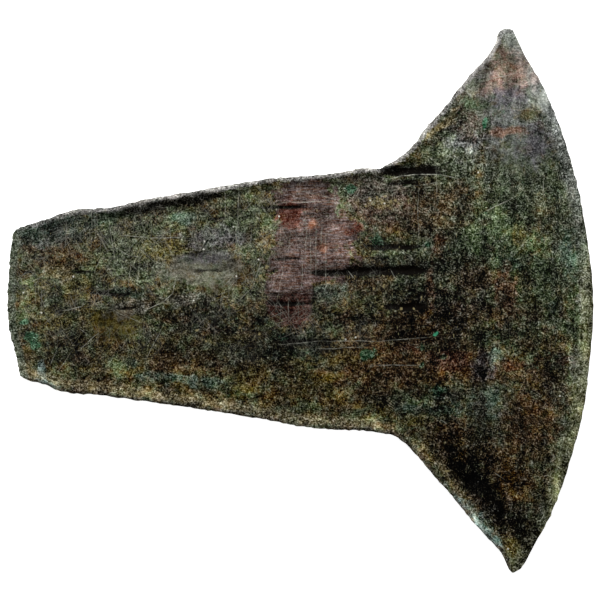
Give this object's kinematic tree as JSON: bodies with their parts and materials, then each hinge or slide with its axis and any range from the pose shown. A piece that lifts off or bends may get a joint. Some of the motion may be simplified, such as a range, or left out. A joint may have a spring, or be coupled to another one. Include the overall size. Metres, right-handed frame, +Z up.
{
  "type": "hoe money",
  "caption": "Thin hammered copper sheet in the shape of a small hoe: tapered shank, spreading horns and a wide crescent blade, with low raised margins and a mottled patina.",
  "frame": {"origin": "centre of the plan's bounding rectangle, on the surface that the sheet lies on", "axes": "+X from the butt along the shank to the blade edge, +Y to the side that is up in the picture, +Z up from the flat back to the face with the raised margins"},
  "size_m": [0.14, 0.1299, 0.0029],
  "materials": {
    "patinated_copper": "hammered copper under a dark, mottled patina: olive and grey-green crust, brown and red-brown patches of oxide, pale fine scratches, and a lighter worn margin along the blade edge"
  },
  "bodies": {
    "root": {"hoe_money": "patinated_copper"}
  },
  "joints": []
}
